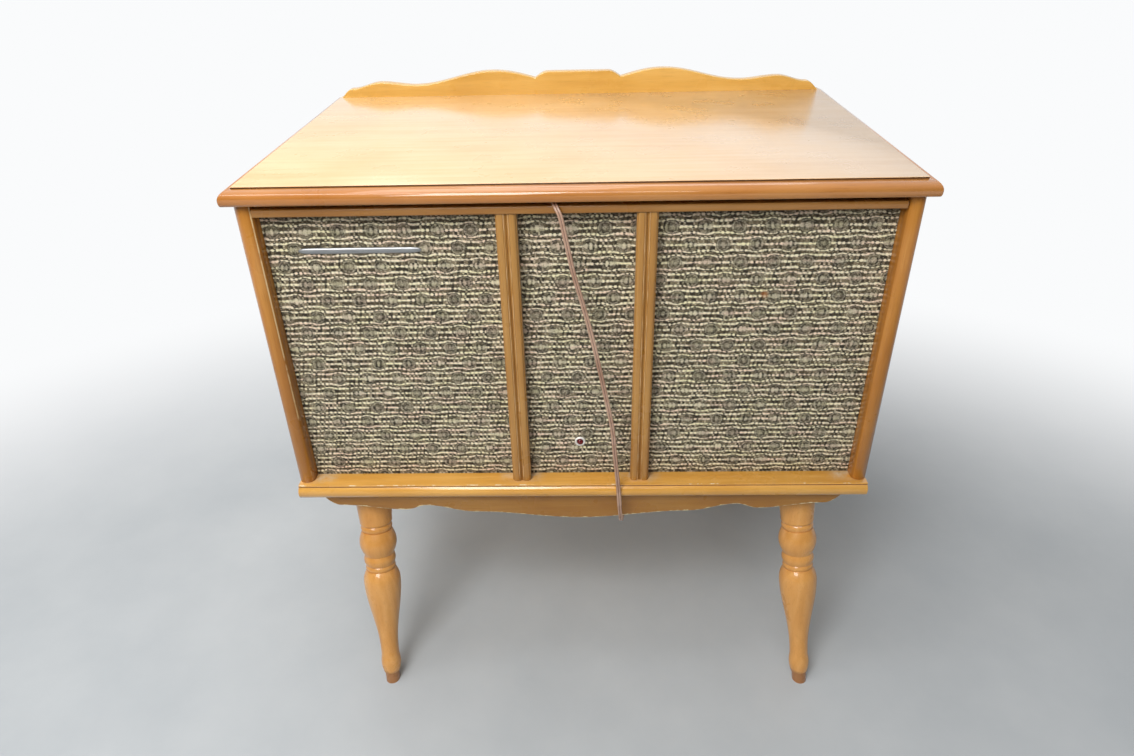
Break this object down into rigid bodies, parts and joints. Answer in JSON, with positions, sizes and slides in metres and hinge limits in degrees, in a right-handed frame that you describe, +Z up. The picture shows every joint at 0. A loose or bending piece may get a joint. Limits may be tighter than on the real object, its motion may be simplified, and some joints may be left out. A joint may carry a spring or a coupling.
{
  "type": "stereo cabinet",
  "caption": "Lift-lid stereo cabinet in honey maple: scalloped gallery and apron, woven grille cloth, splayed turned legs, a record changer under the lid and a flat mains cord.",
  "frame": {"origin": "on the floor under the middle of the case", "axes": "+X to the viewer's right from the front, +Y to the back, +Z up"},
  "size_m": [0.7486, 0.5533, 0.7676],
  "materials": {
    "maple": "satin honey lacquer",
    "plywood": "raw",
    "hardboard": "raw",
    "grille_cloth": "woven",
    "brass": "satin",
    "steel": "zinc plated",
    "chromed": "polished",
    "alloy": "satin",
    "enamel": "satin enamel",
    "black_rubber": "matte",
    "phenolic": "moulded",
    "iron": "black lacquer",
    "cone_paper": "matte",
    "nickel": "plated",
    "ruby": "clear red",
    "vinyl": "smooth brown-mauve vinyl"
  },
  "bodies": {
    "cabinet": {"side_panel_left": "maple", "side_panel_right": "maple", "top_rail": "maple", "grille_cloth": "grille_cloth", "baffle_board": "plywood", "divider_left": "maple", "divider_right": "maple", "base_board": "maple", "base_nosing": "maple", "front_apron": "maple", "leg_front_left": "maple", "leg_front_right": "maple", "leg_rear_left": "maple", "leg_rear_right": "maple", "leg_plate_front_left": "steel", "leg_plate_front_right": "steel", "leg_plate_rear_left": "steel", "leg_plate_rear_right": "steel", "back_rail": "maple", "back_panel": "hardboard", "motor_board": "plywood", "hinge_case_leaf_left": "brass", "hinge_case_leaf_right": "brass", "hinge_pin_left": "brass", "hinge_pin_right": "brass", "stay_stud": "brass", "speaker_left": "cone_paper", "speaker_right": "cone_paper", "pilot_bezel": "nickel", "pilot_jewel": "ruby", "changer_deck": "enamel", "spindle": "chromed", "changer_motor": "iron", "arm_rest": "phenolic", "control_panel": "brass", "amplifier_chassis": "steel", "power_transformer": "iron", "strain_relief": "phenolic", "power_cord": "vinyl", "cord_coil": "vinyl", "power_plug": "phenolic"},
    "lid": {"lid_panel": "maple", "lid_nosing_front": "maple", "lid_nosing_left": "maple", "lid_nosing_right": "maple", "lid_gallery": "maple", "hinge_lid_leaf_left": "brass", "hinge_lid_leaf_right": "brass", "lid_stay": "brass"},
    "turntable": {"platter": "alloy", "platter_mat": "black_rubber"},
    "idler": {"idler_wheel": "black_rubber"},
    "pulley": {"motor_pulley": "chromed"},
    "swivel": {"arm_swivel": "chromed"},
    "arm": {"tonearm": "phenolic"},
    "overarm": {"record_overarm": "chromed"},
    "speed_selector": {"speed_lever": "phenolic"},
    "volume": {"knob_volume": "phenolic"},
    "balance": {"knob_balance": "phenolic"},
    "tone": {"knob_tone": "phenolic"}
  },
  "joints": [
    {"name": "lid_hinge", "type": "hinge", "parent": "cabinet", "child": "lid", "pos_m": [0, 0.2325, 0.715], "axis": [-1, 0, 0], "range_deg": [0, 72]},
    {"name": "platter_spin", "type": "hinge", "parent": "cabinet", "child": "turntable", "pos_m": [-0.175, 0.045, 0.5773], "axis": [0, 0, 1], "continuous": true},
    {"name": "idler_spin", "type": "hinge", "parent": "cabinet", "child": "idler", "pos_m": [-0.12465, -0.04221, 0.5773], "axis": [0, 0, 1], "continuous": true},
    {"name": "pulley_spin", "type": "hinge", "parent": "cabinet", "child": "pulley", "pos_m": [-0.14513, -0.04967, 0.5773], "axis": [0, 0, 1], "continuous": true},
    {"name": "arm_swing", "type": "hinge", "parent": "cabinet", "child": "swivel", "pos_m": [-0.02, 0.15, 0.5773], "axis": [0, 0, -1], "range_deg": [0, 38]},
    {"name": "arm_lift", "type": "hinge", "parent": "swivel", "child": "arm", "pos_m": [-0.02, 0.15, 0.6233], "axis": [-1, 0, 0], "range_deg": [0, 12]},
    {"name": "overarm_swing", "type": "hinge", "parent": "cabinet", "child": "overarm", "pos_m": [-0.06, 0.178, 0.5773], "axis": [0, 0, 1], "range_deg": [0, 60]},
    {"name": "speed_turn", "type": "hinge", "parent": "cabinet", "child": "speed_selector", "pos_m": [-0.068, -0.074, 0.5773], "axis": [0, 0, 1], "range_deg": [-25, 25]},
    {"name": "volume_turn", "type": "hinge", "parent": "cabinet", "child": "volume", "pos_m": [0.1245, -0.074, 0.5676], "axis": [0, 0, -1], "range_deg": [0, 300]},
    {"name": "balance_turn", "type": "hinge", "parent": "cabinet", "child": "balance", "pos_m": [0.1925, -0.074, 0.5676], "axis": [0, 0, -1], "range_deg": [-150, 150]},
    {"name": "tone_turn", "type": "hinge", "parent": "cabinet", "child": "tone", "pos_m": [0.2605, -0.074, 0.5676], "axis": [0, 0, -1], "range_deg": [-150, 150]}
  ],
  "couplings": [
    {"joint": "idler_spin", "follows": "platter_spin", "ratio": 6.6111},
    {"joint": "pulley_spin", "follows": "platter_spin", "ratio": -34}
  ]
}
